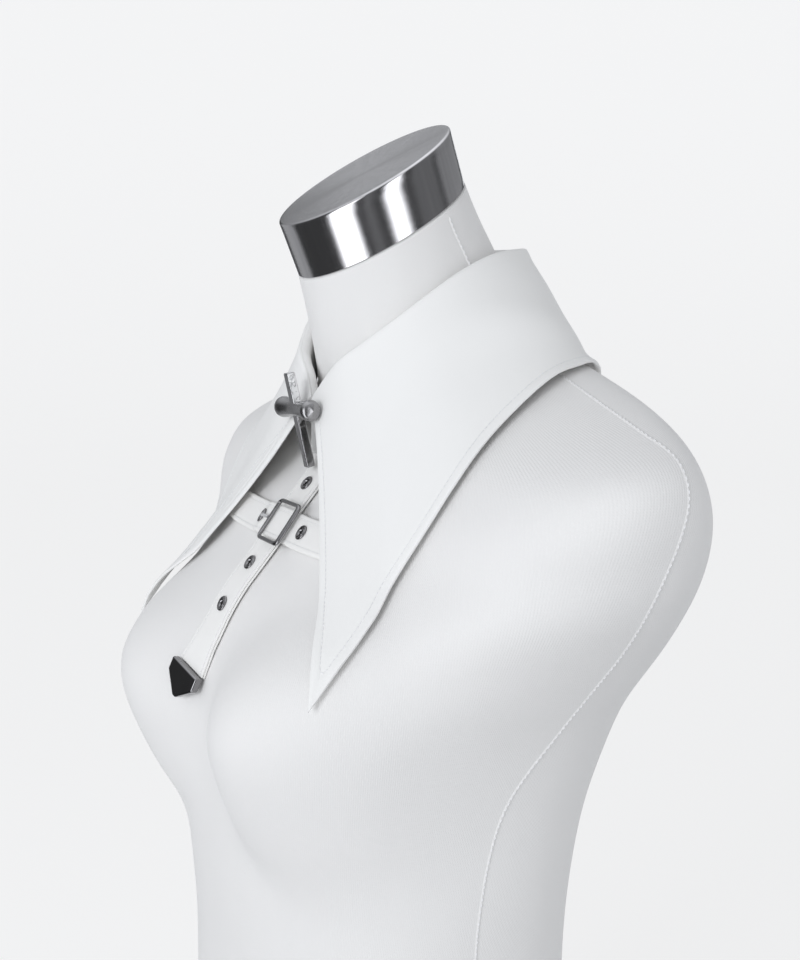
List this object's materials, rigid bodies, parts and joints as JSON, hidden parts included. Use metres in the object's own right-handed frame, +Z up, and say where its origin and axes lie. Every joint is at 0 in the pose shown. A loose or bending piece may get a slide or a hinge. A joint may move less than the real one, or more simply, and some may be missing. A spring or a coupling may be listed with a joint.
{
  "type": "detachable shirt collar on a limbless dress form",
  "caption": "Detachable long-pointed shirt collar with eyelet straps, a buckle and a cross pin, worn on a smooth limbless dress form.",
  "frame": {"origin": "centre of the whole object's outline, on the surface that the dress form stands on", "axes": "+Z up, -Y out of the form's chest, +X towards the form's left shoulder"},
  "size_m": [0.4126, 0.2533, 0.6723],
  "materials": {
    "form_jersey": "pale fine-ribbed jersey cover, matte",
    "neck_cap_steel": "satin steel with long soft reflections",
    "collar_cotton": "smooth pressed white cotton, edge-stitched",
    "strap_cotton": "doubled white cotton strap, edge-stitched",
    "dark_nickel": "polished dark nickel"
  },
  "bodies": {
    "root": {"form_body": "form_jersey", "form_neck_cap": "neck_cap_steel", "collar_stand": "collar_cotton", "collar_fall": "collar_cotton", "hanging_strap": "strap_cotton", "chest_strap": "strap_cotton", "eyelet_hanging_1": "dark_nickel", "eyelet_hanging_2": "dark_nickel", "eyelet_hanging_3": "dark_nickel", "eyelet_chest_right": "dark_nickel", "eyelet_chest_left": "dark_nickel", "buckle_frame": "dark_nickel", "buckle_tongue": "dark_nickel", "strap_tip": "dark_nickel", "cross": "dark_nickel"}
  },
  "joints": []
}
